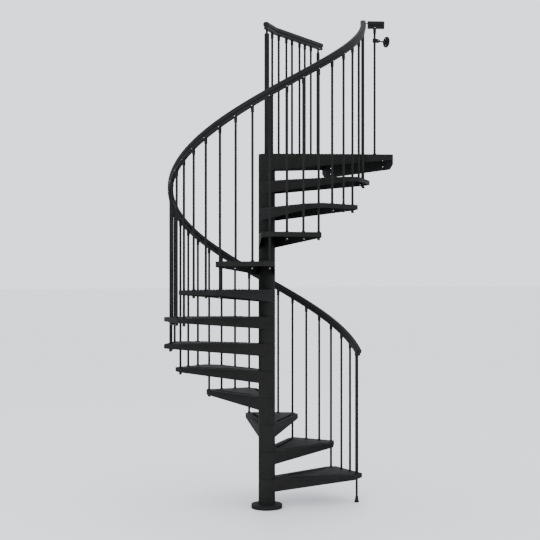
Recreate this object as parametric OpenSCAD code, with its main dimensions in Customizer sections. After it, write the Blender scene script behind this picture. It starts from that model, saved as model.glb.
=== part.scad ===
// Spiral stair with sheet-steel treads, a round handrail balustrade and a wedge-shaped landing.
// The column stands on the origin, +Z is up and +X points square at the wall that carries the landing.

/* [Stair] */
// Radius of the circle that the balusters stand on
baluster_ring_r = 770; // [680:5:850]
// Rise from one tread top to the next
riser = 216.5; // [190:0.5:230]
// Height of the first tread top above the floor
first_rise = 234; // [210:1:260]
// Turn from one tread to the next
tread_turn = 28.345; // [24:0.005:30]

/* [Column] */
// Outside diameter of the tread hubs that stack up into the column
hub_d = 134; // [110:1:160]
// Wall of a hub tube
hub_wall = 5; // [3:0.5:8]
// How far the tread flanges are let into the hub where they are welded to its sides
weld_lap = 1; // [0.5:0.5:2]
// Diameter of the threaded rod that clamps the stack
rod_d = 24; // [16:1:30]
// Play between the rod and the holes it passes through
rod_play = 0.5; // [0.3:0.1:1]
// Diameter of the round cover over the base plate
cover_d = 248; // [240:1:300]
// Height of the base cover
cover_h = 32; // [26:1:45]
// Thickness of the base plate
base_t = 12; // [8:1:16]
// Diameter of the circle of anchor holes
anchor_pcd = 190; // [176:1:200]
// Diameter of each anchor hole
anchor_d = 13; // [9:1:15]

/* [Treads] */
// Thickness of the tread sheet
sheet = 3; // [2:0.5:4]
// Depth of the tread flanges at the column
tread_root_h = 95; // [70:1:110]
// Depth of the tread flanges at the outer end
tread_tip_h = 36; // [25:1:50]
// Distance from the column axis to the chamfered corners at the outer end
tread_tip_r = 822; // [800:1:840]
// How far those corners lie inside the outer baluster lines
tip_inset = 10; // [4:1:16]
// Distance along the front edge to its chamfer
front_edge_r = 730; // [700:1:745]
// How far the front edge stands ahead of the front baluster line at that chamfer
front_lap = 61; // [50:1:64]
// Distance along the back edge to its chamfer
back_edge_r = 755; // [735:1:765]
// How far the back edge stands behind the back baluster line at that chamfer
back_lap = 36; // [30:1:45]

/* [Landing] */
// Distance from the column axis to the wall face
landing_reach = 870; // [800:5:950]
// Width of the landing along the wall
landing_w = 1034; // [900:2:1100]
// Thickness of the landing sheet
landing_sheet = 4; // [3:0.5:5]
// Depth of the side flanges at the column
landing_root_h = 125; // [100:1:140]
// Depth of the side flanges at the wall
landing_tip_h = 45; // [35:1:60]
// Depth of the flange against the wall
wall_flange_h = 120; // [100:1:140]
// Gap between the last stair baluster's centre and the landing's side flange
last_baluster_gap = 24.4; // [18:0.1:30]
// Cut across the lower corners of the wall flange
wall_flange_cut = 40; // [20:1:60]
// Sideways distance between the wall bolts
wall_bolt_y = 760; // [600:10:800]
// Upright distance between the wall bolts
wall_bolt_z = 50; // [40:1:60]
// Diameter of the wall bolt holes
wall_bolt_d = 11; // [9:1:13]

/* [Balusters] */
// Diameter of a baluster
baluster_d = 19; // [16:0.5:22]
// Play round a baluster in a tread it passes through
baluster_play = 0.5; // [0.3:0.1:1]
// Diameter of the collar at a baluster's foot
collar_d = 28; // [24:1:30]
// Height of that collar
collar_h = 9; // [6:1:12]
// How far a baluster reaches below the top of the tread that holds it
shank_h = 60; // [45:1:75]
// How far a landing baluster reaches below the landing's top
guard_shank_h = 40; // [25:1:45]
// Diameter of the sleeve under the handrail
sleeve_d = 25; // [22:1:27]
// Length of that sleeve
sleeve_h = 40; // [25:1:50]
// Diameter of the newel at the stair's foot
newel_d = 27; // [24:1:32]
// Diameter of the leg under that newel
newel_leg_d = 19; // [16:0.5:22]
// Diameter of the foot that the leg stands in
foot_d = 40; // [34:1:46]
// Height of that foot
foot_h = 47; // [35:1:60]

/* [Handrail] */
// Height of the handrail's underside above the floor at the first newel
rail_start_z = 1223; // [1150:1:1300]
// Width of the handrail
rail_w = 46; // [40:1:52]
// Height of the handrail, square to its length
rail_h = 60; // [50:1:66]
// Play between a baluster and the handrail
rail_play = 0.3; // [0.2:0.1:0.5]
// Baluster spaces from the first newel to the handrail's butt joint
rail_joint_at = 30.6; // [28.2:0.1:32.8]
// Baluster spaces from the first newel to the handrail's upper end
rail_end_at = 36.45; // [36.45:0.05:36.7]
// How far the handrail runs on below the first newel, in baluster spaces
rail_lead = 0.3; // [0.25:0.05:0.5]

/* [Landing balustrade] */
// Height of the landing rail's top above the landing
guard_h = 1059; // [950:1:1150]
// Distance from the landing's side edge in to its balusters
guard_inset = 25; // [20:1:35]
// Diameter of the newel on top of the column
top_newel_d = 40; // [35:1:50]
// Diameter of the last post before the wall
end_post_d = 30; // [26:1:36]
// Diameter of the thin studs on top of the newel and the last post
stud_d = 18; // [12:1:19]
// Length of those studs
stud_h = 30; // [20:1:60]
// Diameter of the round wall plate
rose_d = 88; // [70:1:95]

/* [Hidden] */
$fn = 64;
TREADS = 12;
PER_TREAD = 3;

BLACK = [0.09, 0.09, 0.095];
SATIN = [0.13, 0.13, 0.14];
STEEL = [0.6, 0.6, 0.62];
EPS = 1;

hub_r = hub_d / 2;
flange_r = hub_r - weld_lap;
cover_wall = 3;
rod_hole_r = rod_d / 2 + rod_play;

// Places round the stair
landing_half = landing_w / 2;
side_bearing = atan2(landing_half, landing_reach) - asin(flange_r / norm([landing_reach, landing_half]));
last_bearing = -side_bearing - asin((flange_r + last_baluster_gap) / baluster_ring_r);
baluster_turn = tread_turn / PER_TREAD;
baluster_rise = riser / PER_TREAD;
first_bearing = last_bearing - TREADS * tread_turn;

function bearing(i) = first_bearing + i * baluster_turn;
function tread_top(k) = first_rise + (k - 1) * riser;
function hub_foot(k) = k == 1 ? base_t : tread_top(k - 1);
landing_top = tread_top(TREADS + 1);

// A point r along a bearing and o to its left, seen from above
function at(a, r, o) = [r * cos(a) - o * sin(a), r * sin(a) + o * cos(a)];
// The bearing of the flange from a point to the side of the hub, side being +1 left and -1 right
function flange_bearing(p, side) = atan2(p.y, p.x) - side * asin(flange_r / norm(p));
function flange_root(p, side) = at(flange_bearing(p, side), 0, side * flange_r);

// A convex outline drawn in by d on every side
function unit(v) = v / norm(v);
function inward(a, b) = let (u = unit(b - a)) [-u.y, u.x];
function inset(pts, d) = let (n = len(pts)) [
    for (i = [0 : n - 1])
        let (
            before = inward(pts[(i + n - 1) % n], pts[i]),
            after = inward(pts[i], pts[(i + 1) % n])
        )
        pts[i] + d * (before + after) / (1 + before * after)
];

function tread_outline(k) =
    let (
        front = bearing(PER_TREAD * (k - 1)),
        back = bearing(PER_TREAD * k),
        c = at(front, front_edge_r, -front_lap),
        f = at(back, back_edge_r, back_lap)
    )
    [
        flange_root(c, -1), c,
        at(front, tread_tip_r, tip_inset),
        at(back, tread_tip_r, -tip_inset),
        f, flange_root(f, 1)
    ];

landing_outline = [
    at(-side_bearing, 0, -flange_r),
    [landing_reach, -landing_half],
    [landing_reach, landing_half],
    at(side_bearing, 0, flange_r)
];

// A hub tube with the tray that is welded to it, open below. The flanges grow shallow from the
// hub to the outer end. Tube and tray are joined first and then trimmed level at the top.
module tray(outline, mid_bearing, top, foot, t, root_h, tip_h, tip_at) {
    slope = (root_h - tip_h) / (tip_at - hub_r);
    depth = ceil(root_h + slope * hub_r);
    wide = 4 * tip_at;
    difference() {
        union() {
            translate([0, 0, foot]) cylinder(h = top - foot + EPS, r = hub_r);
            difference() {
                translate([0, 0, top - depth]) linear_extrude(depth + 2 * EPS) polygon(outline);
                translate([0, 0, top - depth - EPS])
                    linear_extrude(depth - t + EPS) polygon(inset(outline, t));
                rotate([90, 0, mid_bearing]) translate([0, top, -wide / 2]) linear_extrude(wide)
                    polygon([
                        [-hub_r, -root_h - 2 * slope * hub_r], [tip_at, -tip_h], [2 * tip_at, -tip_h],
                        [2 * tip_at, -2 * root_h], [-hub_r, -2 * root_h]
                    ]);
            }
        }
        translate([-wide / 2, -wide / 2, top]) cube([wide, wide, 4 * EPS]);
        translate([0, 0, foot - EPS]) cylinder(h = top - foot - t + EPS, r = hub_r - hub_wall);
        translate([0, 0, foot - EPS]) cylinder(h = top - foot + 2 * EPS, r = rod_hole_r);
    }
}

module tread(k) {
    front = bearing(PER_TREAD * (k - 1));
    top = tread_top(k);
    color(BLACK) difference() {
        tray(tread_outline(k), front + tread_turn / 2, top, hub_foot(k), sheet,
            tread_root_h, tread_tip_h, baluster_ring_r);
        for (n = [0 : PER_TREAD])
            baluster_hole(at(bearing(PER_TREAD * (k - 1) + n), baluster_ring_r, 0), top,
                k == 1 && n == 0 ? newel_leg_d : baluster_d);
    }
}

// A hole down through a tread or landing for a baluster of diameter d
module baluster_hole(p, top, d) {
    translate([each p, top - tread_root_h])
        cylinder(h = tread_root_h + EPS, r = d / 2 + baluster_play);
}

module landing() {
    color(BLACK) difference() {
        union() {
            tray(landing_outline, 0, landing_top, tread_top(TREADS), landing_sheet,
                landing_root_h, landing_tip_h, landing_reach);
            translate([landing_reach, 0, landing_top]) rotate([90, 0, -90])
                linear_extrude(landing_sheet) polygon([
                    [-landing_half, 0], [-landing_half, wall_flange_cut - wall_flange_h],
                    [wall_flange_cut - landing_half, -wall_flange_h],
                    [landing_half - wall_flange_cut, -wall_flange_h],
                    [landing_half, wall_flange_cut - wall_flange_h], [landing_half, 0]
                ]);
        }
        for (y = [-1, 1], z = [-1, 1])
            translate([
                landing_reach - landing_sheet - EPS,
                y * wall_bolt_y / 2,
                landing_top - wall_flange_h / 2 - landing_sheet + z * wall_bolt_z / 2
            ])
                rotate([0, 90, 0]) cylinder(h = landing_sheet + 2 * EPS, d = wall_bolt_d);
        for (s = guard_stations) baluster_hole(guard_at(s), landing_top, baluster_d);
        baluster_hole(wall_baluster_p, landing_top, baluster_d);
    }
}

module base_plate() {
    color(BLACK) difference() {
        cylinder(h = base_t, d = cover_d - 2 * cover_wall - 2);
        translate([0, 0, -EPS]) cylinder(h = base_t + 2 * EPS, r = rod_hole_r);
        for (a = [45 : 90 : 315])
            rotate(a) translate([anchor_pcd / 2, 0, -EPS]) cylinder(h = base_t + 2 * EPS, d = anchor_d);
    }
}

module base_cover() {
    color(BLACK) difference() {
        cylinder(h = cover_h, d = cover_d);
        translate([0, 0, -EPS]) cylinder(h = cover_h - cover_wall + EPS, d = cover_d - 2 * cover_wall);
        cylinder(h = cover_h + EPS, r = hub_r + 0.3);
    }
}

module centre_rod() {
    color(STEEL) cylinder(h = landing_top, d = rod_d);
}

// The handrail's section: a cap, its top nearly flat between rounded corners, over a narrower
// body with a groove each side
RAIL_FULLNESS = 0.6;
function fuller(share) = sign(share) * pow(abs(share), RAIL_FULLNESS);
rail_body = rail_w * 0.36;
rail_neck = rail_w * 0.31;
rail_brow = rail_h * 0.62;
rail_section = [
    [-rail_body + 3, 0], [rail_body - 3, 0], [rail_body, 3],
    [rail_body, 0.34 * rail_h], [rail_neck, 0.38 * rail_h], [rail_neck, 0.43 * rail_h],
    [rail_w / 2 - 2, 0.46 * rail_h], [rail_w / 2, 0.5 * rail_h],
    for (a = [0 : 15 : 180])
        [rail_w / 2 * fuller(cos(a)), rail_brow + (rail_h - rail_brow) * fuller(sin(a))],
    [-rail_w / 2, 0.5 * rail_h], [2 - rail_w / 2, 0.46 * rail_h],
    [-rail_neck, 0.43 * rail_h], [-rail_neck, 0.38 * rail_h], [-rail_body, 0.34 * rail_h],
    [-rail_body, 3]
];
rail_slope = atan2(baluster_rise, baluster_ring_r * baluster_turn * PI / 180);

function rail_z(i) = rail_start_z + i * baluster_rise;
// A section point, u outwards and v square to the handrail, at baluster place i
function rail_point(i, u, v) =
    let (a = bearing(i), r = baluster_ring_r + u)
    [
        r * cos(a) + v * sin(rail_slope) * sin(a),
        r * sin(a) - v * sin(rail_slope) * cos(a),
        rail_z(i) + v * cos(rail_slope)
    ];

module helical_rail(from_i, to_i) {
    rings = ceil((to_i - from_i) * 2);
    n = len(rail_section);
    points = [
        for (j = [0 : rings], p = rail_section)
            rail_point(from_i + (to_i - from_i) * j / rings, -p.x, p.y)
    ];
    sides = [
        for (j = [0 : rings - 1], q = [0 : n - 1])
            let (a = j * n + q, b = j * n + (q + 1) % n)
            each [[a, a + n, b + n], [a, b + n, b]]
    ];
    first = [for (q = [0 : n - 1]) q];
    last = [for (q = [n - 1 : -1 : 0]) rings * n + q];
    polyhedron(points, concat([first], sides, [last]));
}

// A level length of the same section from a to b, its underside at height z; each end face is
// turned by its own angle from square
module level_rail(a, b, z, turn_a = 0, turn_b = 0) {
    along = unit(b - a);
    n = len(rail_section);
    function face(p, turn) = [
        for (q = rail_section)
            [each p + q.x * [along.y + along.x * tan(turn), along.y * tan(turn) - along.x], z + q.y]
    ];
    sides = [for (q = [0 : n - 1]) let (w = (q + 1) % n) each [[q, q + n, w + n], [q, w + n, w]]];
    first = [for (q = [0 : n - 1]) q];
    last = [for (q = [n - 1 : -1 : 0]) n + q];
    polyhedron(concat(face(a, turn_a), face(b, turn_b)), concat([first], sides, [last]));
}

// One baluster under the sloping handrail, with its foot collar and top sleeve
module baluster(i) {
    k = ceil(i / PER_TREAD);
    foot = tread_top(k);
    top = rail_z(i);
    spare = 2 * sleeve_d;
    difference() {
        translate([each at(bearing(i), baluster_ring_r, 0), foot]) {
            translate([0, 0, -shank_h]) cylinder(h = shank_h + top - foot + spare, d = baluster_d);
            cylinder(h = collar_h, d1 = collar_d, d2 = baluster_d);
            translate([0, 0, top - foot - sleeve_h]) cylinder(h = sleeve_h + spare, d = sleeve_d);
        }
        under_rail(i);
    }
}

// Everything above the handrail's sloping underside at baluster place i
module under_rail(i) {
    big = 6 * sleeve_d;
    translate([each at(bearing(i), baluster_ring_r, 0), rail_z(i) - rail_play])
        rotate([0, 0, bearing(i)]) rotate([rail_slope, 0, 0])
            translate([-big / 2, -big / 2, 0]) cube(big);
}

module balusters(k) {
    color(BLACK) for (n = [1 : PER_TREAD]) baluster(PER_TREAD * (k - 1) + n);
}

module start_newel() {
    foot = tread_top(1);
    color(BLACK) difference() {
        translate([each at(bearing(0), baluster_ring_r, 0), 0]) {
            translate([0, 0, foot]) cylinder(h = rail_z(0) - foot + newel_d, d = newel_d);
            translate([0, 0, base_t]) cylinder(h = foot - base_t + EPS, d = newel_leg_d);
        }
        under_rail(0);
    }
}

module newel_foot() {
    color(SATIN) translate([each at(bearing(0), baluster_ring_r, 0), 0]) difference() {
        union() {
            cylinder(h = foot_h * 0.15, d = foot_d);
            cylinder(h = foot_h * 0.6, d1 = foot_d * 0.85, d2 = foot_d * 0.75);
            cylinder(h = foot_h, d = foot_d * 0.65);
        }
        translate([0, 0, base_t]) cylinder(h = foot_h, d = newel_leg_d);
    }
}

module handrail() {
    color(SATIN) helical_rail(-rail_lead, rail_joint_at);
}

module handrail_top() {
    color(SATIN) helical_rail(rail_joint_at, rail_end_at);
}

// Landing balustrade
guard_top = landing_top + guard_h;
guard_under = guard_top - rail_h;
guard_o = flange_r - guard_inset;
guard_stations = [145, 245, 365, 455, 577, 665, 767];
end_post_at = 891;
elbow_end = 190;
guard_end = 944;
wall_baluster_at = 864;
wall_rail_from = 809;
wall_rail_to = 940;
wall_rail_rise = 10;

function guard_at(s) = at(side_bearing, s, guard_o);
elbow_bearing = atan2(guard_at(elbow_end).y, guard_at(elbow_end).x);
wall_baluster_p = at(-side_bearing, wall_baluster_at, -guard_o);

// A landing baluster whose sleeve ends at height top
module guard_baluster(p, top) {
    translate([each p, landing_top]) {
        translate([0, 0, -guard_shank_h])
            cylinder(h = top - landing_top + guard_shank_h, d = baluster_d);
        cylinder(h = collar_h, d1 = collar_d, d2 = baluster_d);
        translate([0, 0, top - landing_top - sleeve_h]) cylinder(h = sleeve_h, d = sleeve_d);
    }
}

module stud_post(p, d) {
    translate([each p, landing_top]) {
        cylinder(h = guard_under - landing_top - stud_h, d = d);
        cylinder(h = guard_under - landing_top, d = stud_d);
    }
}

module landing_newel() {
    color(BLACK) stud_post([0, 0], top_newel_d);
}

module landing_balusters() {
    color(BLACK) for (s = guard_stations) guard_baluster(guard_at(s), guard_under);
}

module landing_end_post() {
    color(BLACK) stud_post(guard_at(end_post_at), end_post_d);
}

elbow_from = at(elbow_bearing, -rail_w / 2, 0);
elbow_turn = (elbow_bearing - side_bearing) / 2;

module landing_rail_elbow() {
    color(SATIN) level_rail(elbow_from, guard_at(elbow_end), guard_under, 0, -elbow_turn);
}

module landing_rail() {
    color(SATIN) level_rail(guard_at(elbow_end), guard_at(guard_end), guard_under, elbow_turn);
}

module wall_baluster() {
    color(BLACK) guard_baluster(wall_baluster_p, wall_rail_under);
}

function wall_rail_at(s) = at(-side_bearing, s, -guard_o);
wall_rail_under = guard_under + wall_rail_rise;

module wall_rail() {
    color(SATIN) level_rail(wall_rail_at(wall_rail_from), wall_rail_at(wall_rail_to), wall_rail_under);
}

// The pin from the handrail's outer side to the inner end of the wall rail
pin_d = 8;
pin_edge = 1;
pin_up = 0.55 * rail_h;
handrail_outer_r = baluster_ring_r + rail_w / 2;
handrail_end_bearing = bearing(rail_end_at) - pin_up * sin(rail_slope) / baluster_ring_r * 180 / PI;
pin_back = pin_d / 2 + pin_edge;
pin_o = handrail_outer_r * sin(handrail_end_bearing + side_bearing) - pin_back;
pin_z = rail_z(rail_end_at) + pin_up * cos(rail_slope) - pin_back * tan(rail_slope);
pin_from = sqrt(pow(handrail_outer_r, 2) - pow(pin_o, 2)) + rail_play;

module rail_pin() {
    color(STEEL) translate([each at(-side_bearing, pin_from, pin_o), pin_z])
        rotate([0, 90, -side_bearing]) cylinder(h = wall_rail_from - pin_from, d = pin_d);
}

bracket_z = guard_top - 145;
bracket_arm_d = 14;
bracket_clamp_d = 36;
bracket_clamp_h = 30;
rose_t = 8;

module wall_bracket() {
    color(SATIN) translate([each wall_baluster_p, bracket_z]) {
        reach = landing_reach - wall_baluster_p.x;
        difference() {
            union() {
                translate([0, 0, -bracket_clamp_h / 2]) cylinder(h = bracket_clamp_h, d = bracket_clamp_d);
                rotate([0, 90, 0]) cylinder(h = reach, d = bracket_arm_d);
                translate([reach - rose_t, 0, 0]) rotate([0, 90, 0]) cylinder(h = rose_t, d = rose_d);
            }
            translate([0, 0, -bracket_clamp_h]) cylinder(h = 2 * bracket_clamp_h, d = baluster_d + 2 * rail_play);
        }
    }
}

base_plate();
base_cover();
centre_rod();
tread(1);  // tread_01
tread(2);  // tread_02
tread(3);  // tread_03
tread(4);  // tread_04
tread(5);  // tread_05
tread(6);  // tread_06
tread(7);  // tread_07
tread(8);  // tread_08
tread(9);  // tread_09
tread(10);  // tread_10
tread(11);  // tread_11
tread(12);  // tread_12
landing();
start_newel();
newel_foot();
balusters(1);  // balusters_01
balusters(2);  // balusters_02
balusters(3);  // balusters_03
balusters(4);  // balusters_04
balusters(5);  // balusters_05
balusters(6);  // balusters_06
balusters(7);  // balusters_07
balusters(8);  // balusters_08
balusters(9);  // balusters_09
balusters(10);  // balusters_10
balusters(11);  // balusters_11
balusters(12);  // balusters_12
handrail();
handrail_top();
landing_newel();
landing_balusters();
landing_end_post();
landing_rail_elbow();
landing_rail();
wall_baluster();
wall_rail();
rail_pin();
wall_bracket();
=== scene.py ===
"""A black steel spiral stair: folded treads on a column of stacked hubs, a spiral balustrade
under a moulded handrail, and a landing fixed to a wall. Lengths are metres, +Z is up."""
import math

import bmesh
import bpy
from mathutils import Matrix, Vector


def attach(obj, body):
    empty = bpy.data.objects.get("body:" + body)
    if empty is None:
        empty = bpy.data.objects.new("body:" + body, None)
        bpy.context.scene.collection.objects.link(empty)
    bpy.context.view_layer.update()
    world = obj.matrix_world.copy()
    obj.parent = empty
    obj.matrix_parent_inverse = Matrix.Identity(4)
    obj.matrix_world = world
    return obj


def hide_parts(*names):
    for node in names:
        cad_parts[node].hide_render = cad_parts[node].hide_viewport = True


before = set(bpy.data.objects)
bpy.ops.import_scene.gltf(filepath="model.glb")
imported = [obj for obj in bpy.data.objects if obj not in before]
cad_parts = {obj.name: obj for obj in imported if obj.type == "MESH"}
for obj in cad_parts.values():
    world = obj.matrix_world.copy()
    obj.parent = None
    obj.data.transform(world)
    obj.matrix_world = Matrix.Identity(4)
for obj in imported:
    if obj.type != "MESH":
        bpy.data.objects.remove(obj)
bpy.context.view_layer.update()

# ---------------------------------------------------------------------------------------------
# Camera, floor and lights
# A long lens at standing eye height looks level across the stair, which turns its landing
# towards the right. The floor is plain and pale, and the light comes soft from large panels.
# ---------------------------------------------------------------------------------------------
LOOK = math.radians(30.35)
CAMERA_AWAY = 8.827
EYE = 1.876
LENS = 73.4
FRAME_SHIFT = (0.0059, 0.0067)

bpy.ops.object.camera_add(
    location=(-CAMERA_AWAY * math.sin(LOOK), -CAMERA_AWAY * math.cos(LOOK), EYE),
    rotation=(math.pi / 2, 0, -LOOK),
)
camera = bpy.context.object
camera.name = "camera"
camera.data.lens = LENS
camera.data.shift_x, camera.data.shift_y = FRAME_SHIFT
camera.data.clip_end = 200
bpy.context.scene.camera = camera


def new_material(name):
    """A new material and its principled shader."""
    material = bpy.data.materials.new(name)
    material.use_nodes = True
    return material, material.node_tree.nodes["Principled BSDF"]


bpy.ops.mesh.primitive_plane_add(size=240, location=(0, 0, 0))
floor = bpy.context.object
floor.name = "floor"
floor_paint, floor_shader = new_material("pale_floor")
floor_shader.inputs["Base Color"].default_value = (0.88, 0.885, 0.90, 1)
floor_shader.inputs["Roughness"].default_value = 0.55
floor.data.materials.append(floor_paint)

world = bpy.data.worlds.new("pale_room")
bpy.context.scene.world = world
world.use_nodes = True
world.node_tree.nodes["Background"].inputs["Color"].default_value = (0.83, 0.875, 0.93, 1)
world.node_tree.nodes["Background"].inputs["Strength"].default_value = 2.0


def panel(name, place, aim, size, power):
    """A large square lamp that faces a point."""
    bpy.ops.object.light_add(type="AREA", location=place)
    lamp = bpy.context.object
    lamp.name = name
    lamp.data.size = size
    lamp.data.energy = power
    lamp.rotation_euler = (Vector(aim) - Vector(place)).to_track_quat("-Z", "Y").to_euler()


panel("key_panel", (-6.0, -4.5, 3.6), (0, 0, 1.8), 3.5, 230)
panel("fill_panel", (3.5, -7.0, 2.2), (0, 0, 1.8), 4.0, 60)
panel("rim_panel", (1.0, 6.5, 5.5), (0, 0, 2.2), 4.0, 40)


# ---------------------------------------------------------------------------------------------
# Base plate and cover
# The column is bolted down through a round steel plate, hidden by a plain round cover with a
# softened rim. Both are steel, powder coated in the same fine-textured satin black.
# ---------------------------------------------------------------------------------------------
def add(tree, kind, **values):
    """A node of that kind, with its sockets or settings set by name."""
    node = tree.nodes.new(kind)
    for name, value in values.items():
        if name in node.inputs:
            node.inputs[name].default_value = value
        else:
            setattr(node, name, value)
    return node


def noise(tree, scale, detail, roughness=0.5):
    """A noise that is fixed to the piece, read by its own coordinates."""
    place = add(tree, "ShaderNodeTexCoord")
    cloud = add(tree, "ShaderNodeTexNoise", Scale=scale, Detail=detail, Roughness=roughness)
    tree.links.new(place.outputs["Object"], cloud.inputs["Vector"])
    return cloud.outputs["Fac"]


def ramp(tree, source, low_at, low, high_at, high):
    """A colour that goes from low to high as the source does between two values."""
    tone = add(tree, "ShaderNodeValToRGB")
    for stop, place, colour in zip(tone.color_ramp.elements, (low_at, high_at), (low, high)):
        stop.position = place
        stop.color = (*colour, 1)
    tree.links.new(source, tone.inputs["Fac"])
    return tone.outputs["Color"]


def spread(tree, source, low, high):
    """A number between low and high that follows the source."""
    level = add(tree, "ShaderNodeMapRange", **{"To Min": low, "To Max": high})
    tree.links.new(source, level.inputs["Value"])
    return level.outputs["Result"]


def grain(tree, source, strength, height):
    """A bump for the shader's normal, raised by the source."""
    bump = add(tree, "ShaderNodeBump", Strength=strength, Distance=height)
    tree.links.new(source, bump.inputs["Height"])
    return bump.outputs["Normal"]


def powder_coat(name, shade, orange_peel):
    """Satin powder coat: fine orange peel, and a broad faint change of tone and sheen."""
    material, shader = new_material(name)
    tree = material.node_tree
    link = tree.links.new
    cloud = noise(tree, 9.0, 4.0, 0.6)
    tone = ramp(tree, cloud, 0.30, [c * 0.86 for c in shade], 0.75, [c * 1.16 for c in shade])
    speckle = noise(tree, 120.0, 5.0, 0.7)
    fleck = ramp(tree, speckle, 0.35, (0.80, 0.80, 0.80), 0.68, (1.22, 1.22, 1.22))
    flecked = add(tree, "ShaderNodeVectorMath", operation="MULTIPLY")
    link(tone, flecked.inputs[0])
    link(fleck, flecked.inputs[1])
    link(flecked.outputs["Vector"], shader.inputs["Base Color"])
    link(spread(tree, cloud, 0.62, 0.80), shader.inputs["Roughness"])
    peel = noise(tree, 650.0, 3.0, 0.55)
    link(grain(tree, peel, orange_peel, 0.0004), shader.inputs["Normal"])
    shader.inputs["Specular IOR Level"].default_value = 0.04
    return material


black_coat = powder_coat("black_powder_coat", (0.0132, 0.0128, 0.0123), 0.28)


def only(*pieces):
    """Selects just these pieces, the first one active."""
    bpy.ops.object.select_all(action="DESELECT")
    for piece in pieces:
        piece.select_set(True)
    bpy.context.view_layer.objects.active = pieces[0]


def pick(piece, kind, test):
    """In edit mode, selects the vertices, edges or faces that pass a test."""
    bpy.ops.mesh.select_mode(type=kind)
    bpy.ops.mesh.select_all(action="DESELECT")
    shape = bmesh.from_edit_mesh(piece.data)
    for item in {"VERT": shape.verts, "EDGE": shape.edges, "FACE": shape.faces}[kind]:
        if test(item):
            item.select_set(True)
    bmesh.update_edit_mesh(piece.data)


def modify(piece, kind, **settings):
    """Adds a modifier with these settings and applies it."""
    only(piece)
    modifier = piece.modifiers.new(kind.lower(), kind)
    for name, value in settings.items():
        setattr(modifier, name, value)
    bpy.ops.object.modifier_apply(modifier=modifier.name)


def round_edges(piece, width, segments=2, angle=32):
    """Rounds every edge sharper than an angle."""
    modify(
        piece, "BEVEL", width=width, segments=segments, limit_method="ANGLE",
        angle_limit=math.radians(angle), use_clamp_overlap=True,
    )


def smooth(piece, angle=35):
    """Smooth shading that stays crisp over sharp edges."""
    only(piece)
    bpy.ops.object.shade_smooth_by_angle(angle=math.radians(angle))


def turned(name, outline, steps=48, closed=False):
    """A turned piece: an outline of (radius, height) points spun round the Z axis."""
    bpy.ops.mesh.primitive_circle_add(vertices=len(outline), radius=1)
    piece = bpy.context.object
    piece.name = name
    for vertex, (radius, height) in zip(piece.data.vertices, outline):
        vertex.co = (radius, 0, height)
    bpy.ops.object.mode_set(mode="EDIT")
    if not closed:
        ends = {0, len(outline) - 1}
        pick(piece, "EDGE", lambda e: {v.index for v in e.verts} == ends)
        bpy.ops.mesh.delete(type="EDGE")
    bpy.ops.mesh.select_all(action="SELECT")
    bpy.ops.mesh.spin(steps=steps, angle=2 * math.pi, center=(0, 0, 0), axis=(0, 0, 1))
    bpy.ops.mesh.select_all(action="SELECT")
    bpy.ops.mesh.remove_doubles(threshold=0.00001)
    bpy.ops.mesh.normals_make_consistent(inside=False)
    bpy.ops.object.mode_set(mode="OBJECT")
    return piece


def keep(piece, material, slot, *nodes):
    """Paints a finished piece and hands it to the frame."""
    piece.data.materials.clear()
    piece.data.materials.append(material)
    smooth(piece)
    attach(piece, "root")
    if nodes:
        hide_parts(*nodes)


def repaint(node, material):
    """A new finish for a piece that stays as it is."""
    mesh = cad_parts[node].data
    mesh.materials.clear()
    mesh.materials.append(material)


HUB_R = 0.067
COVER_R = 0.124
COVER_H = 0.032
COVER_WALL = 0.003
COVER_PLAY = 0.0003

base_cover = turned(
    "base_cover_shell",
    [
        (HUB_R + COVER_PLAY, COVER_H), (COVER_R, COVER_H), (COVER_R, 0),
        (COVER_R - COVER_WALL, 0), (COVER_R - COVER_WALL, COVER_H - COVER_WALL),
        (HUB_R + COVER_PLAY, COVER_H - COVER_WALL),
    ],
    steps=96, closed=True,
)
round_edges(base_cover, 0.0025, segments=3)
keep(base_cover, black_coat, "black_powder_coat", "base_cover")
repaint("base_plate", black_coat)


# ---------------------------------------------------------------------------------------------
# Treads
# Each tread is a steel sheet folded down on all its outer sides into deep tapering flanges and
# welded to its own length of column tube. Two staggered rows of raised grip holes run along the
# front and the back, and a crease runs along each flange under the nosing.
# ---------------------------------------------------------------------------------------------
TREADS = 12
TURN = math.radians(28.345)
RISER = 0.2165
FIRST_RISE = 0.234
RING_R = 0.770
BASE_T = 0.012
FLANGE_R = 0.066
TREAD_SHEET = 0.003
HUB_GAP = 0.0030
HUB_SEAM = 0.0030
REACH = 0.870
LANDING_HALF = 0.517
LAST_GAP = 0.0244

side_bearing = math.atan2(LANDING_HALF, REACH) - math.asin(
    FLANGE_R / math.hypot(REACH, LANDING_HALF)
)
last_bearing = -side_bearing - math.asin((FLANGE_R + LAST_GAP) / RING_R)
first_bearing = last_bearing - TREADS * TURN


def at(bearing, out, left=0.0):
    """The plan point that far out along a bearing and that far to its left."""
    return Vector((
        out * math.cos(bearing) - left * math.sin(bearing),
        out * math.sin(bearing) + left * math.cos(bearing),
    ))


def tread_top(k):
    """Height of a tread's top. The landing is one more."""
    return FIRST_RISE + (k - 1) * RISER


def bearing_of(i):
    """The bearing of a baluster, counted from the newel at the stair's foot."""
    return first_bearing + i * TURN / 3


def flange_bearing(point, side):
    """The bearing of the flange that runs from a plan point to the hub's left or right side."""
    return math.atan2(point.y, point.x) - side * math.asin(FLANGE_R / point.length)


def plate_outline(tips):
    """The plate's outline: the outer corners, then round the far side of the hub."""
    weld = math.sqrt(HUB_R**2 - FLANGE_R**2)
    front = at(flange_bearing(tips[0], -1), weld, -FLANGE_R)
    back = at(flange_bearing(tips[-1], 1), weld, FLANGE_R)
    start = math.atan2(back.y, back.x)
    sweep = (math.atan2(front.y, front.x) - start) % (2 * math.pi)
    steps = 40
    arc = [HUB_R * Vector((math.cos(a), math.sin(a)))
           for a in (start + sweep * s / steps for s in range(steps))]
    return [front, *tips, *arc]


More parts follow.
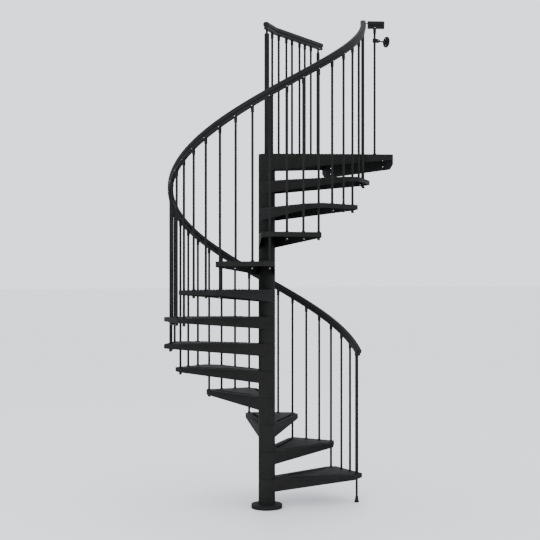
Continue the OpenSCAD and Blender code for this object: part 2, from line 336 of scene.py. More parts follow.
def tray(name, tips, sheet, depth_at, folded=lambda point: True):
    """A folded tray, its top at height 0, with skirts down to depth_at(point) where folded."""
    outline = plate_outline(tips)
    bpy.ops.mesh.primitive_circle_add(vertices=len(outline), radius=1, fill_type="NGON")
    piece = bpy.context.object
    piece.name = name
    for vertex, point in zip(piece.data.vertices, outline):
        vertex.co = (point.x, point.y, 0)
    clear = HUB_R + 0.002

    def is_folded(edge):
        middle = (edge.verts[0].co + edge.verts[1].co) / 2
        return middle.length > clear and folded(middle)

    bpy.ops.object.mode_set(mode="EDIT")
    pick(piece, "EDGE", is_folded)
    bpy.ops.mesh.extrude_edges_move(TRANSFORM_OT_translate={"value": (0, 0, -sheet)})
    shape = bmesh.from_edit_mesh(piece.data)
    for vertex in shape.verts:
        if vertex.co.z < 0:
            vertex.co.z = -depth_at(vertex.co)
    bmesh.update_edit_mesh(piece.data)
    bpy.ops.mesh.select_all(action="SELECT")
    bpy.ops.mesh.normals_make_consistent(inside=False)
    bpy.ops.object.mode_set(mode="OBJECT")
    plate = max(piece.data.polygons, key=lambda face: face.area)
    if plate.normal.z < 0:
        piece.data.flip_normals()
    modify(piece, "SOLIDIFY", thickness=sheet, offset=-1, use_even_offset=True)
    round_edges(piece, 0.0016, segments=3)
    return piece


def hub(name, foot, top):
    """A length of column tube that stops just above the one below it, to leave a fine joint."""
    bpy.ops.mesh.primitive_cylinder_add(
        vertices=96, radius=HUB_R - 0.0001, depth=top - foot, location=(0, 0, (top + foot) / 2)
    )
    piece = bpy.context.object
    piece.name = name
    bpy.ops.object.transform_apply(location=True, rotation=False, scale=False)
    bpy.ops.object.mode_set(mode="EDIT")
    pick(piece, "FACE", lambda f: f.normal.z < -0.9)
    bpy.ops.mesh.inset(thickness=HUB_SEAM)
    bpy.ops.mesh.extrude_region_move(TRANSFORM_OT_translate={"value": (0, 0, -HUB_GAP)})
    bpy.ops.object.mode_set(mode="OBJECT")
    round_edges(piece, 0.0006, segments=2, angle=50)
    return piece


def grip_places(bearing, rows, count):
    """The places of rows of grip holes, each so far left of a bearing line from a first hole."""
    return [
        at(bearing, first + GRIP_PITCH * j, left) for left, first in rows for j in range(count)
    ]


GRIP_HOLE_R = 0.0054
GRIP_PITCH = 0.0293
GRIP_COUNT = 16
FRONT_GRIP_ROWS = [(-0.038, 0.2080), (-0.024, 0.1934)]
BACK_GRIP_ROWS = [(-0.012, 0.2430), (-0.026, 0.2284)]

grip = turned(
    "grip",
    [(0.0072, -0.0004), (0.0062, 0.0042), (0.0049, 0.0040), (0.0046, -0.0028)],
    steps=12, closed=True,
)


def joined(name, *pieces):
    """Joins pieces into one and names it."""
    only(*pieces)
    bpy.ops.object.join()
    pieces[0].name = name
    return pieces[0]


def copied(piece, name, matrix):
    """A copy with its own mesh, put in place by a matrix."""
    twin = piece.copy()
    twin.data = piece.data.copy()
    twin.name = name
    bpy.context.collection.objects.link(twin)
    twin.data.transform(matrix)
    return twin


def cut_away(piece, cutter):
    """Cuts one piece away from another."""
    modify(piece, "BOOLEAN", object=cutter, operation="DIFFERENCE", solver="EXACT")
    bpy.data.objects.remove(cutter)


def drill(piece, places):
    """Drills the grip holes through a plate at these places."""
    drills = []
    for point in places:
        bpy.ops.mesh.primitive_cylinder_add(
            vertices=12, radius=GRIP_HOLE_R, depth=0.012, location=(point.x, point.y, 0)
        )
        drills.append(bpy.context.object)
    cut_away(piece, joined("drills", *drills))


CREASE_FROM = 0.140
CREASE_TO = 0.690
CREASE_SUNK = 0.0018
CREASE_H = 0.0050
FRONT_CREASE_DROP = 0.021
BACK_CREASE_DROP = 0.018


def crease(piece, bearing, left, drop):
    """Presses a fine level crease into a flange, drop below its top."""
    middle = at(bearing, (CREASE_FROM + CREASE_TO) / 2, left)
    bpy.ops.mesh.primitive_cube_add(size=1)
    cutter = bpy.context.object
    cutter.scale = (CREASE_TO - CREASE_FROM, 2 * CREASE_SUNK, CREASE_H)
    cutter.rotation_euler = (0, 0, bearing)
    cutter.location = (middle.x, middle.y, -drop)
    bpy.ops.object.transform_apply(location=True, rotation=True, scale=True)
    round_edges(cutter, 0.0008, segments=2)
    cut_away(piece, cutter)


TREAD_TIPS = [
    at(0, 0.730, -0.061), at(0, 0.822, 0.010), at(TURN, 0.822, -0.010), at(TURN, 0.755, 0.036)
]
TREAD_ROOT_H = 0.095
TREAD_TIP_H = 0.036


def tread_depth(point):
    """Depth of a tread's flange: deep at the hub and shallow from the balusters outwards."""
    out = point.xy.dot(at(TURN / 2, 1))
    share = min(1.0, (out - HUB_R) / (RING_R - HUB_R))
    return TREAD_ROOT_H + (TREAD_TIP_H - TREAD_ROOT_H) * share


tread_pattern = tray("tread_pattern", TREAD_TIPS, TREAD_SHEET, tread_depth)
front_line = flange_bearing(TREAD_TIPS[0], -1)
back_line = flange_bearing(TREAD_TIPS[-1], 1)
tread_grips = (
    grip_places(0, FRONT_GRIP_ROWS, GRIP_COUNT) + grip_places(TURN, BACK_GRIP_ROWS, GRIP_COUNT)
)
drill(tread_pattern, tread_grips)
crease(tread_pattern, front_line, -FLANGE_R, FRONT_CREASE_DROP)
crease(tread_pattern, back_line, FLANGE_R, BACK_CREASE_DROP)
crowns = [copied(grip, "crown", Matrix.Translation((p.x, p.y, 0))) for p in tread_grips]
tread_pattern = joined("tread_pattern", tread_pattern, *crowns)

for k in range(1, TREADS + 1):
    front = Matrix.Rotation(bearing_of(3 * (k - 1)), 4, "Z")
    place = Matrix.Translation((0, 0, tread_top(k))) @ front
    plate = copied(tread_pattern, f"tread_plate_{k:02d}", place)
    foot = BASE_T if k == 1 else tread_top(k - 1)
    tube = hub(f"hub_{k:02d}", foot + HUB_GAP, tread_top(k) - TREAD_SHEET / 2)
    keep(joined(f"step_{k:02d}", plate, tube), black_coat, "black_powder_coat", f"tread_{k:02d}")
bpy.data.objects.remove(tread_pattern)

# ---------------------------------------------------------------------------------------------
# Landing
# The landing is folded and welded like a tread, from thicker sheet, and widens from the column
# to the wall. A deep flange with cut corners is bolted flat to the wall.
# ---------------------------------------------------------------------------------------------
LANDING_SHEET = 0.004
LANDING_ROOT_H = 0.125
LANDING_TIP_H = 0.045
WALL_FLANGE_H = 0.120
WALL_FLANGE_CUT = 0.040
WALL_BOLT_Y = 0.760
WALL_BOLT_Z = 0.050
WALL_BOLT_HOLE_R = 0.0055
LANDING_GRIP_ROWS = [(-0.040, 0.2080), (-0.026, 0.1934)]
LANDING_GRIP_COUNT = 20

landing_top = tread_top(TREADS + 1)


def landing_depth(point):
    """Depth of the landing's side flanges, from the hub to the wall."""
    share = (point.x - HUB_R) / (REACH - HUB_R)
    return LANDING_ROOT_H + (LANDING_TIP_H - LANDING_ROOT_H) * share


def saw_off(piece, point, facing):
    """Saws a piece off at a plane and closes the cut. What lies on its facing side goes."""
    only(piece)
    bpy.ops.object.mode_set(mode="EDIT")
    bpy.ops.mesh.select_all(action="SELECT")
    bpy.ops.mesh.bisect(plane_co=point, plane_no=facing, use_fill=True, clear_outer=True)
    bpy.ops.object.mode_set(mode="OBJECT")


landing_tips = [Vector((REACH, -LANDING_HALF)), Vector((REACH, LANDING_HALF))]
landing_plate = tray(
    "landing_plate", landing_tips, LANDING_SHEET, landing_depth,
    folded=lambda point: point.x < REACH - LANDING_SHEET,
)
saw_off(landing_plate, (REACH, 0, 0), (1, 0, 0))
landing_grips = grip_places(-side_bearing, LANDING_GRIP_ROWS, LANDING_GRIP_COUNT)
drill(landing_plate, landing_grips)
crowns = [copied(grip, "crown", Matrix.Translation((p.x, p.y, 0))) for p in landing_grips]

wall_outline = [
    (-LANDING_HALF, -LANDING_SHEET), (-LANDING_HALF, WALL_FLANGE_CUT - WALL_FLANGE_H),
    (WALL_FLANGE_CUT - LANDING_HALF, -WALL_FLANGE_H),
    (LANDING_HALF - WALL_FLANGE_CUT, -WALL_FLANGE_H),
    (LANDING_HALF, WALL_FLANGE_CUT - WALL_FLANGE_H), (LANDING_HALF, -LANDING_SHEET),
]
bpy.ops.mesh.primitive_circle_add(vertices=len(wall_outline), radius=1, fill_type="NGON")
wall_flange = bpy.context.object
for vertex, (y, z) in zip(wall_flange.data.vertices, wall_outline):
    vertex.co = (REACH, y, z)
if wall_flange.data.polygons[0].normal.x < 0:
    wall_flange.data.flip_normals()
modify(wall_flange, "SOLIDIFY", thickness=LANDING_SHEET, offset=-1)
round_edges(wall_flange, 0.0012, segments=2)
bolt_places = [
    (y * WALL_BOLT_Y / 2, z * WALL_BOLT_Z / 2 - WALL_FLANGE_H / 2 - LANDING_SHEET)
    for y in (-1, 1) for z in (-1, 1)
]
bolt_holes = []
for y, z in bolt_places:
    bpy.ops.mesh.primitive_cylinder_add(
        vertices=24, radius=WALL_BOLT_HOLE_R, depth=0.02, location=(REACH, y, z),
        rotation=(0, math.pi / 2, 0),
    )
    bolt_holes.append(bpy.context.object)
cut_away(wall_flange, joined("bolt_holes", *bolt_holes))

landing_plate = joined("landing_plate", landing_plate, wall_flange, *crowns)
landing_plate.data.transform(Matrix.Translation((0, 0, landing_top)))
landing_tube = hub("landing_tube", tread_top(TREADS) + HUB_GAP, landing_top - LANDING_SHEET / 2)
landing_deck = joined("landing_deck", landing_plate, landing_tube)
keep(landing_deck, black_coat, "black_powder_coat", "landing")
bpy.data.objects.remove(grip)

# ---------------------------------------------------------------------------------------------
# Stair balusters
# Three round steel tubes stand on each tread. Each has a coned collar on the tread, a shank with
# a nut below it, and a wider sleeve that is cut to the handrail's slope.
# ---------------------------------------------------------------------------------------------
RAIL_START_Z = 1.223
COLLAR_R = 0.014
COLLAR_H = 0.009
SLEEVE_R = 0.0125
SLEEVE_H = 0.040
SHANK_R = 0.0095
SHANK_H = 0.060
NUT_R = 0.0115
NUT_H = 0.017
RAIL_PLAY = 0.0003

baluster_rise = RISER / 3
rail_slope = math.atan2(baluster_rise, RING_R * TURN / 3)


def rail_z(i):
    """Height of the handrail's underside over a baluster."""
    return RAIL_START_Z + i * baluster_rise


def baluster(name, length, shank, slope):
    """A baluster standing at the origin, its top cut to a slope that climbs towards +Y."""
    spare = 0.03
    piece = turned(
        name,
        [
            (0, -shank), (NUT_R - 0.0015, -shank), (NUT_R, -shank + 0.0015),
            (NUT_R, -shank + NUT_H), (SHANK_R, -shank + NUT_H + 0.0015), (SHANK_R, 0),
            (COLLAR_R - 0.001, 0), (COLLAR_R, 0.0012), (COLLAR_R, 0.0024),
            (SHANK_R + 0.0006, COLLAR_H - 0.0006), (SHANK_R, COLLAR_H),
            (SHANK_R, length - SLEEVE_H), (SLEEVE_R - 0.0012, length - SLEEVE_H + 0.0006),
            (SLEEVE_R, length - SLEEVE_H + 0.003), (SLEEVE_R, length + spare),
            (0, length + spare),
        ],
        steps=28,
    )
    saw_off(piece, (0, 0, length - RAIL_PLAY), (0, -math.sin(slope), math.cos(slope)))
    return piece


spans = [rail_z(n) - tread_top(1) for n in (1, 2, 3)]
baluster_patterns = [
    baluster(f"baluster_pattern_{n}", span, SHANK_H, rail_slope) for n, span in enumerate(spans)
]
for k in range(1, TREADS + 1):
    trio = []
    for n, pattern in enumerate(baluster_patterns):
        bearing = bearing_of(3 * (k - 1) + n + 1)
        spot = at(bearing, RING_R)
        place = Matrix.Translation((spot.x, spot.y, tread_top(k)))
        trio.append(copied(pattern, "baluster", place @ Matrix.Rotation(bearing, 4, "Z")))
    group = joined(f"stair_balusters_{k:02d}", *trio)
    keep(group, black_coat, "black_powder_coat", f"balusters_{k:02d}")
for pattern in baluster_patterns:
    bpy.data.objects.remove(pattern)

# ---------------------------------------------------------------------------------------------
# Newel at the stair's foot
# A thicker steel tube stands on the first tread and meets the handrail's end in a wide collar.
# A thinner leg carries on down through the tread into a stepped moulded foot on the floor.
# ---------------------------------------------------------------------------------------------
NEWEL_R = 0.0135
LEG_R = 0.0095
FOOT_R = 0.020
FOOT_H = 0.047

newel_spot = at(bearing_of(0), RING_R)
newel_place = Matrix.Translation((newel_spot.x, newel_spot.y, 0))
newel_turn = Matrix.Rotation(bearing_of(0), 4, "Z")
newel_top = rail_z(0)
start_newel = turned(
    "start_newel_tube",
    [
        (0, BASE_T), (LEG_R, BASE_T), (LEG_R, FIRST_RISE), (0.0185, FIRST_RISE),
        (0.0190, FIRST_RISE + 0.0010), (0.0190, FIRST_RISE + 0.004), (0.0150, FIRST_RISE + 0.0115),
        (NEWEL_R, FIRST_RISE + 0.012), (NEWEL_R, newel_top - 0.020), (0.0160, newel_top - 0.0195),
        (0.0170, newel_top - 0.018), (0.0170, newel_top + 0.03), (0, newel_top + 0.03),
    ],
    steps=32,
)
saw_off(
    start_newel, (0, 0, newel_top - RAIL_PLAY), (0, -math.sin(rail_slope), math.cos(rail_slope))
)
start_newel.data.transform(newel_place @ newel_turn)
keep(start_newel, black_coat, "black_powder_coat", "start_newel")


def moulded(name, shade, sheen, grain_size, grain_strength):
    """Satin moulded plastic: a fine even grain and a soft change of sheen along its length."""
    material, shader = new_material(name)
    tree = material.node_tree
    link = tree.links.new
    cloud = noise(tree, 6.0, 5.0, 0.55)
    tone = ramp(tree, cloud, 0.32, [c * 0.88 for c in shade], 0.72, [c * 1.12 for c in shade])
    link(tone, shader.inputs["Base Color"])
    link(spread(tree, cloud, *sheen), shader.inputs["Roughness"])
    skin = noise(tree, grain_size, 2.0)
    link(grain(tree, skin, grain_strength, 0.0002), shader.inputs["Normal"])
    shader.inputs["Specular IOR Level"].default_value = 0.10
    return material


rail_plastic = moulded("handrail_plastic", (0.0090, 0.0088, 0.0086), (0.50, 0.62), 900.0, 0.25)

newel_foot = turned(
    "newel_foot_cup",
    [
        (0, 0), (FOOT_R - 0.001, 0), (FOOT_R, 0.001), (FOOT_R, 0.006), (FOOT_R * 0.86, 0.0085),
        (FOOT_R * 0.76, 0.027), (FOOT_R * 0.70, 0.029), (FOOT_R * 0.65, 0.030),
        (FOOT_R * 0.65, FOOT_H - 0.001), (FOOT_R * 0.65 - 0.001, FOOT_H), (LEG_R, FOOT_H),
        (LEG_R, BASE_T), (0, BASE_T),
    ],
    steps=40,
)
newel_foot.data.transform(newel_place)
keep(newel_foot, rail_plastic, "rail_plastic", "newel_foot")

# ---------------------------------------------------------------------------------------------
# Spiral handrail
# A dark moulded rail climbs over the balusters in two lengths with a butt joint: a broad rounded
# cap over a narrower body, with a groove each side. Its ends are cut square and softened.
# ---------------------------------------------------------------------------------------------
RAIL_W = 0.046
RAIL_H = 0.060
RAIL_JOINT = 30.6
RAIL_END = 36.45
RAIL_LEAD = 0.3
RAIL_FULLNESS = 0.6
RAIL_STEPS_PER_SPACE = 5
END_REACH = 0.16
RIM_REACH = 0.09


def fuller(share):
    """Fills a quarter ellipse out towards its corner, for a nearly flat top."""
    return max(0.0, share) ** RAIL_FULLNESS


rail_brow = 0.62 * RAIL_H
rail_body = 0.36 * RAIL_W
rail_neck = 0.31 * RAIL_W
half_section = [
    (0, 0.0), (rail_body - 0.0040, 0), (rail_body - 0.0012, 0.0010), (rail_body, 0.0035),
    (rail_body, 0.31 * RAIL_H), (rail_body - 0.0006, 0.34 * RAIL_H), (rail_neck, 0.37 * RAIL_H),
    (rail_neck, 0.42 * RAIL_H), (rail_neck + 0.001, 0.435 * RAIL_H),
    (RAIL_W / 2 - 0.0030, 0.452 * RAIL_H), (RAIL_W / 2 - 0.0008, 0.485 * RAIL_H),
    (RAIL_W / 2, 0.53 * RAIL_H),
    *[
        (RAIL_W / 2 * fuller(math.cos(a)), rail_brow + (RAIL_H - rail_brow) * fuller(math.sin(a)))
        for a in (math.pi / 2 * step / 10 for step in range(11))
    ],
]
rail_section = half_section + [(-u, v) for u, v in reversed(half_section[1:-1])]


def close_end(piece, point, run, nose, steps=4):
    """Cuts a rail off at a point, facing along its run, and closes it with a rounded nose."""
    def on_cut(edge):
        middle = (edge.verts[0].co + edge.verts[1].co) / 2
        return (edge.is_boundary or edge.is_wire) and (middle - point).length < RIM_REACH

    only(piece)
    bpy.ops.object.mode_set(mode="EDIT")
    pick(piece, "FACE", lambda f: (f.calc_center_median() - point).length < END_REACH)
    bpy.ops.mesh.bisect(
        plane_co=point - run * nose, plane_no=run, use_fill=False, clear_outer=True
    )
    pick(piece, "EDGE", on_cut)
    bpy.ops.mesh.edge_face_add()
    for step in range(steps):
        now = math.radians(90 * step / steps)
        then = math.radians(90 * (step + 1) / steps)
        bpy.ops.mesh.inset(thickness=nose * (math.cos(now) - math.cos(then)))
        bpy.ops.transform.translate(value=run * nose * (math.sin(then) - math.sin(now)))
    bpy.ops.mesh.select_all(action="SELECT")
    bpy.ops.mesh.normals_make_consistent(inside=False)
    bpy.ops.object.mode_set(mode="OBJECT")


def rail_run(i):
    """The place of the handrail's underside and the direction in which it climbs."""
    bearing = bearing_of(i)
    spot = at(bearing, RING_R)
    level = math.cos(rail_slope)
    run = Vector((-math.sin(bearing) * level, math.cos(bearing) * level, math.sin(rail_slope)))
    return Vector((spot.x, spot.y, rail_z(i))), run


def spiral_rail(name, first, last, first_nose, last_nose):
    """A length of handrail between two baluster places, cut square to its run at both ends."""
    spare = 0.6
    spaces = last - first + 2 * spare
    steps = int(spaces * RAIL_STEPS_PER_SPACE)
    bpy.ops.mesh.primitive_circle_add(vertices=len(rail_section), radius=1)
    piece = bpy.context.object
    piece.name = name
    for vertex, (out, up) in zip(piece.data.vertices, rail_section):
        vertex.co = (RING_R + out, 0, up / math.cos(rail_slope))
    modify(
        piece, "SCREW", axis="Z", angle=spaces * TURN / 3, screw_offset=spaces * baluster_rise,
        steps=steps, render_steps=steps, use_merge_vertices=False,
    )
    piece.data.transform(
        Matrix.Translation((0, 0, rail_z(first - spare)))
        @ Matrix.Rotation(bearing_of(first - spare), 4, "Z")
    )
    for place, sign, nose in ((first, -1, first_nose), (last, 1, last_nose)):
        point, run = rail_run(place)
        close_end(piece, point, run * sign, nose)
    return piece


JOINT_NOSE = 0.0012
END_NOSE = 0.0080

long_rail = spiral_rail("handrail_long", -RAIL_LEAD, RAIL_JOINT, 0.003, JOINT_NOSE)
keep(long_rail, rail_plastic, "rail_plastic", "handrail")
top_rail = spiral_rail("handrail_upper", RAIL_JOINT, RAIL_END, JOINT_NOSE, END_NOSE)
keep(top_rail, rail_plastic, "rail_plastic", "handrail_top")

# ---------------------------------------------------------------------------------------------
# Landing newel and end post
# A stout steel tube stands on the column and a slimmer one near the wall. Each ends below the
# rail in a rounded shoulder, and a thin stud goes on up into the rail.
# ---------------------------------------------------------------------------------------------
GUARD_H = 1.059
GUARD_INSET = 0.025
NEWEL_TOP_R = 0.020
END_POST_R = 0.015
END_POST_AT = 0.891
STUD_R = 0.009
STUD_H = 0.030

guard_top = landing_top + GUARD_H
guard_under = guard_top - RAIL_H
guard_left = FLANGE_R - GUARD_INSET


def guard_at(station):
    """The plan point that far along the landing balustrade."""
    return at(side_bearing, station, guard_left)


def stud_post(name, spot, radius):
    """A post on the landing, with a welded foot ring and a thin stud on its shoulder."""
    shoulder = guard_under - STUD_H
    piece = turned(
        name,
        [
            (0, landing_top), (radius + 0.006, landing_top),
            (radius + 0.006, landing_top + 0.004), (radius + 0.001, landing_top + 0.0085),
            (radius, landing_top + 0.009), (radius, shoulder - 0.003),
            (radius - 0.0009, shoulder - 0.0009), (radius - 0.003, shoulder), (STUD_R, shoulder),
            (STUD_R, guard_under), (0, guard_under),
        ],
        steps=40,
    )
    piece.data.transform(Matrix.Translation((spot.x, spot.y, 0)))
    return piece


top_newel = stud_post("top_newel_tube", Vector((0, 0)), NEWEL_TOP_R)
keep(top_newel, black_coat, "black_powder_coat", "landing_newel")
end_post = stud_post("end_post_tube", guard_at(END_POST_AT), END_POST_R)
keep(end_post, black_coat, "black_powder_coat", "landing_end_post")

# ---------------------------------------------------------------------------------------------
# Landing balusters
# Seven tubes like the stair's stand along the landing's left edge and one on its right edge near
# the wall. They are bolted through the sheet and their sleeves are cut level.
# ---------------------------------------------------------------------------------------------
GUARD_STATIONS = [0.145, 0.245, 0.365, 0.455, 0.577, 0.665, 0.767]
GUARD_SHANK_H = 0.040
WALL_BALUSTER_AT = 0.864
WALL_RAIL_RISE = 0.010

wall_spot = at(-side_bearing, WALL_BALUSTER_AT, -guard_left)
guard_pattern = baluster("guard_pattern", guard_under - landing_top, GUARD_SHANK_H, 0)
guards = []
for station in GUARD_STATIONS:
    spot = guard_at(station)
    guards.append(
        copied(guard_pattern, "guard", Matrix.Translation((spot.x, spot.y, landing_top)))
    )
guard_row = joined("guard_balusters", *guards)
keep(guard_row, black_coat, "black_powder_coat", "landing_balusters")
last_guard = baluster(
    "wall_side_baluster", guard_under + WALL_RAIL_RISE - landing_top, GUARD_SHANK_H, 0
)
last_guard.data.transform(Matrix.Translation((wall_spot.x, wall_spot.y, landing_top)))
keep(last_guard, black_coat, "black_powder_coat", "wall_baluster")
bpy.data.objects.remove(guard_pattern)

# ---------------------------------------------------------------------------------------------
# Landing rail and its elbow
# The same moulded rail runs level along the landing. A short mitred piece brings it in over the
# column, where it ends in a rounded nose, and a moulded cap closes its end at the wall.
# ---------------------------------------------------------------------------------------------
ELBOW_END = 0.190
GUARD_END = 0.944
CAP_T = 0.005

elbow_point = guard_at(ELBOW_END)
elbow_bearing = math.atan2(elbow_point.y, elbow_point.x)
mitre = (elbow_bearing - side_bearing) / 2


def level_rail(name, start, end, start_turn=0.0, end_turn=0.0):
    """A level rail between two plan points, each open end turned by an angle from square."""
    run = end - start
    spare = 0.05
    bpy.ops.mesh.primitive_circle_add(vertices=len(rail_section), radius=1, fill_type="NGON")
    piece = bpy.context.object
    piece.name = name
    for vertex, (out, up) in zip(piece.data.vertices, rail_section):
        vertex.co = (-spare, -out, up)
    bpy.ops.object.mode_set(mode="EDIT")
    bpy.ops.mesh.select_all(action="SELECT")
    bpy.ops.mesh.extrude_region_move(
        TRANSFORM_OT_translate={"value": (run.length + 2 * spare, 0, 0)}
    )
    for x, turn, sign in ((0, start_turn, -1), (run.length, end_turn, 1)):
        bpy.ops.mesh.select_all(action="SELECT")
        bpy.ops.mesh.bisect(
            plane_co=(x, 0, 0), plane_no=(sign * math.cos(turn), sign * math.sin(turn), 0),
            use_fill=True, clear_outer=True,
        )
    bpy.ops.mesh.select_all(action="SELECT")
    bpy.ops.mesh.normals_make_consistent(inside=False)
    bpy.ops.object.mode_set(mode="OBJECT")
    piece.data.transform(
        Matrix.Translation((start.x, start.y, guard_under))
        @ Matrix.Rotation(math.atan2(run.y, run.x), 4, "Z")
    )
    return piece


def end_cap(spot, bearing, grow=0.0006):
    """A moulded cap on a level rail's end: the section a shade larger, its rim rounded."""
    centre = RAIL_H / 2
    bpy.ops.mesh.primitive_circle_add(vertices=len(rail_section), radius=1, fill_type="NGON")
    piece = bpy.context.object
    for vertex, (out, up) in zip(piece.data.vertices, rail_section):
        wide = 1 + grow / (RAIL_W / 2)
        tall = 1 + grow / centre if up < centre else 1
        vertex.co = (0, -out * wide, centre + (up - centre) * tall)
    bpy.ops.object.mode_set(mode="EDIT")
    bpy.ops.mesh.select_all(action="SELECT")
    bpy.ops.mesh.extrude_region_move(TRANSFORM_OT_translate={"value": (-CAP_T, 0, 0)})
    bpy.ops.mesh.select_all(action="SELECT")
    bpy.ops.mesh.normals_make_consistent(inside=False)
    pick(piece, "FACE", lambda f: abs(f.normal.x) > 0.9 and f.calc_center_median().x > -CAP_T / 2)
    bpy.ops.mesh.inset(thickness=0.0014)
    bpy.ops.transform.translate(value=(0.0010, 0, 0))
    bpy.ops.object.mode_set(mode="OBJECT")
    piece.data.transform(
        Matrix.Translation((spot.x, spot.y, guard_under)) @ Matrix.Rotation(bearing, 4, "Z")
    )
    return piece


nose_point = at(elbow_bearing, -RAIL_W / 2)
elbow_rail = level_rail("rail_elbow", nose_point, elbow_point, 0, -mitre)
long_guard_rail = level_rail("guard_rail_length", elbow_point, guard_at(GUARD_END), mitre, 0)
guard_rail_cap = end_cap(guard_at(GUARD_END), side_bearing)
keep(elbow_rail, rail_plastic, "rail_plastic", "landing_rail_elbow")
guard_rail = joined("guard_rail", long_guard_rail, guard_rail_cap)
keep(guard_rail, rail_plastic, "rail_plastic", "landing_rail")

# ---------------------------------------------------------------------------------------------
# Short rail at the wall
# A short level length of the same rail with a cap on each end sits across the last baluster. A
# black pin joins it to the outer side of the spiral rail's end.
# ---------------------------------------------------------------------------------------------
WALL_RAIL_FROM = 0.809
WALL_RAIL_TO = 0.940

wall_rail_from = at(-side_bearing, WALL_RAIL_FROM, -guard_left)
wall_rail_to = at(-side_bearing, WALL_RAIL_TO, -guard_left)
wall_length = level_rail("wall_rail_length", wall_rail_from, wall_rail_to)
wall_caps = [
    end_cap(wall_rail_to, -side_bearing), end_cap(wall_rail_from, math.pi - side_bearing)
]
short_rail = joined("short_wall_rail", wall_length, *wall_caps)
short_rail.data.transform(Matrix.Translation((0, 0, WALL_RAIL_RISE)))
keep(short_rail, rail_plastic, "rail_plastic", "wall_rail")
repaint("rail_pin", black_coat)

# ---------------------------------------------------------------------------------------------
# Wall bracket
# A cast clamp grips the last baluster. Its egg-shaped arm narrows to a neck and ends in a round
# dished plate, which two screws hold to the wall.
# ---------------------------------------------------------------------------------------------
BRACKET_DROP = 0.145
CLAMP_R = 0.0165
CLAMP_H = 0.030
ROSE_R = 0.044
ROSE_T = 0.008

bracket_z = guard_top - BRACKET_DROP
wall_gap = REACH - wall_spot.x
clamp = turned(
    "clamp",
    [
        (0.0098, -CLAMP_H / 2), (CLAMP_R - 0.002, -CLAMP_H / 2), (CLAMP_R, 0.002 - CLAMP_H / 2),
        (CLAMP_R, CLAMP_H / 2 - 0.002), (CLAMP_R - 0.002, CLAMP_H / 2), (0.0098, CLAMP_H / 2),
    ],
    steps=36, closed=True,
)
arm = turned(
    "arm",
    [
        (0, 0.010), (0.0135, 0.012), (0.0165, 0.018), (0.0172, 0.024), (0.0165, 0.031),
        (0.0140, 0.040), (0.0095, 0.049), (0.0062, 0.056), (0.0052, 0.063), (0.0052, 0.072),
        (0.0062, 0.080), (0.0095, 0.086), (0.0118, 0.092), (0.0122, 0.098), (0.0110, 0.103),
        (0.0100, wall_gap - ROSE_T), (0.0100, wall_gap - 0.004), (0, wall_gap - 0.004),
    ],
    steps=32,
)
arm.data.transform(Matrix.Rotation(math.pi / 2, 4, "Y"))
rose = turned(
    "rose",
    [
        (0, wall_gap - 0.0045), (0.014, wall_gap - 0.0045), (0.026, wall_gap - 0.0062),
        (0.034, wall_gap - ROSE_T), (0.040, wall_gap - 0.0074), (0.0432, wall_gap - 0.0055),
        (ROSE_R, wall_gap - 0.003), (ROSE_R, wall_gap), (0, wall_gap),
    ],
    steps=64,
)
rose.data.transform(Matrix.Rotation(math.pi / 2, 4, "Y"))
bracket = joined("bracket", clamp, arm, rose)
bracket.data.transform(Matrix.Translation((wall_spot.x, wall_spot.y, bracket_z)))
keep(bracket, black_coat, "bracket_paint", "wall_bracket")

# ---------------------------------------------------------------------------------------------
# Screws
# Small zinc plated pan head screws fix the handrail to each baluster, lock the shanks under the
# treads, and hold the short rail, the bracket's clamp and its wall plate.
# ---------------------------------------------------------------------------------------------
zinc, zinc_shader = new_material("zinc_plate")
zinc_tree = zinc.node_tree
zinc_cloud = noise(zinc_tree, 240.0, 3.0)
zinc_sheen = spread(zinc_tree, zinc_cloud, 0.24, 0.42)
zinc_tone = ramp(zinc_tree, zinc_cloud, 0, (0.26, 0.26, 0.26), 1, (0.42, 0.42, 0.41))
zinc_tree.links.new(zinc_sheen, zinc_shader.inputs["Roughness"])
zinc_tree.links.new(zinc_tone, zinc_shader.inputs["Base Color"])
zinc_shader.inputs["Metallic"].default_value = 1.0

NUT_SCREW_H = 0.009
RAIL_SCREW_H = 0.0065
GUARD_SCREW_H = 0.008
WALL_SCREW_H = 0.006
ROSE_SCREW_UP = 0.027

screw = turned(
    "screw",
    [
        (0, -0.003), (0.0030, -0.003), (0.0042, 0), (0.0038, 0.0015), (0.0024, 0.0024),
        (0.0012, 0.0024), (0.0010, 0.0012), (0, 0.0012),
    ],
    steps=12,
)


def screws(name, seats, finish=zinc, slot="bright_steel"):
    """One screw at each seat: a point on the surface and the way its head faces."""
    heads = []
    for point, facing in seats:
        turn = facing.to_track_quat("Z", "Y").to_matrix().to_4x4()
        heads.append(copied(screw, "head", Matrix.Translation(point) @ turn))
    keep(joined(name, *heads), finish, slot)


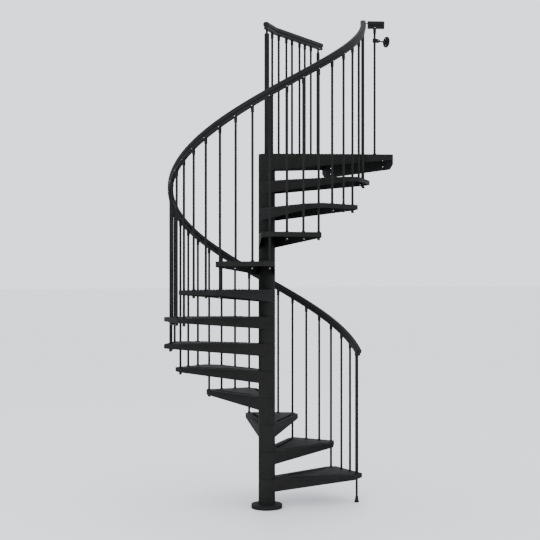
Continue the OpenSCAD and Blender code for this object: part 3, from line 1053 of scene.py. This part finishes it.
def outward(bearing):
    """The level direction away from the column at a bearing."""
    return Vector((math.cos(bearing), math.sin(bearing), 0))


rail_seats = []
shank_seats = []
for i in range(1, 3 * TREADS + 1):
    point, run = rail_run(i)
    away = outward(bearing_of(i))
    lift = run.cross(away).normalized()
    lift = lift if lift.z > 0 else -lift
    rail_seats.append((point + away * rail_body + lift * RAIL_SCREW_H, away))
    tread = math.ceil(i / 3)
    shank_top = Vector((point.x, point.y, tread_top(tread)))
    shank_seats.append((shank_top + away * NUT_R - Vector((0, 0, SHANK_H - NUT_SCREW_H)), away))
screws("rail_screws", rail_seats)
screws("shank_screws", shank_seats)

inner = Vector((math.sin(side_bearing), -math.cos(side_bearing), 0))
guard_seats = []
for station in GUARD_STATIONS:
    spot = guard_at(station)
    guard_seats.append((Vector((*spot, guard_under + GUARD_SCREW_H)) + inner * rail_body, inner))
screws("guard_screws", guard_seats, black_coat, "black_powder_coat")
wall_side = Vector((-math.sin(side_bearing), -math.cos(side_bearing), 0))
wall_screw_z = guard_under + WALL_RAIL_RISE + WALL_SCREW_H
wall_seat = Vector((*wall_spot, wall_screw_z)) + wall_side * rail_body
post_seat = Vector((*guard_at(END_POST_AT), guard_under + GUARD_SCREW_H)) + inner * rail_body
screws("rail_end_screws", [(wall_seat, wall_side), (post_seat, inner)])

to_room = Vector((-1, 0, 0))
bracket_at = Vector((*wall_spot, bracket_z))
across = Vector((0, -1, 0))
bracket_seats = [
    (bracket_at + Vector((0.024, -0.0170, 0)), across),
    (bracket_at + Vector((wall_gap - ROSE_T, 0, ROSE_SCREW_UP)), to_room),
    (bracket_at + Vector((wall_gap - ROSE_T, 0, -ROSE_SCREW_UP)), to_room),
]
screws("bracket_screws", bracket_seats)
bpy.data.objects.remove(screw)

# ---------------------------------------------------------------------------------------------
# Centre rod
# A zinc plated threaded rod runs up inside the column and pulls the stacked hubs together. It
# keeps its plain turned shape and takes the finish of the screws.
# ---------------------------------------------------------------------------------------------
repaint("centre_rod", zinc)
